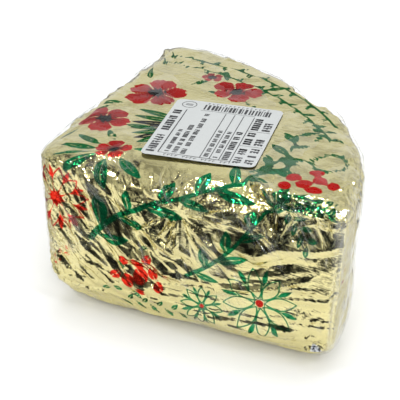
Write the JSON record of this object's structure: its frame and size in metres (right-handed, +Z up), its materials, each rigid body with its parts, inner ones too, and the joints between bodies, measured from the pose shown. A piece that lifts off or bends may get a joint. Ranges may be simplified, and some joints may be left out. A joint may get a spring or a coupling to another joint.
{
  "type": "wrapped gorgonzola wedge",
  "caption": "Quarter-round wedge of blue cheese, half a wheel high, in crumpled gold foil with a floral print under a tight clear film, with a paper weight label on top.",
  "frame": {"origin": "middle of the bounding box, on the base plane", "axes": "+Z up; the front cut face looks along -Y, the other cut face along -X, the rind towards +X and +Y"},
  "size_m": [0.1511, 0.1529, 0.0852],
  "materials": {
    "foil": "pale gold laminated foil, crumpled, glossy, with a green and red floral print",
    "clear_film": "thin clear shrink film, glossy and slightly milky, finely wrinkled",
    "label_paper": "smooth matt white label paper",
    "label_ink": "matt black print on the label: rules, a bar code and dummy marks in place of type"
  },
  "bodies": {
    "root": {"wrapped_wedge": "foil", "label": "label_paper"}
  },
  "joints": []
}
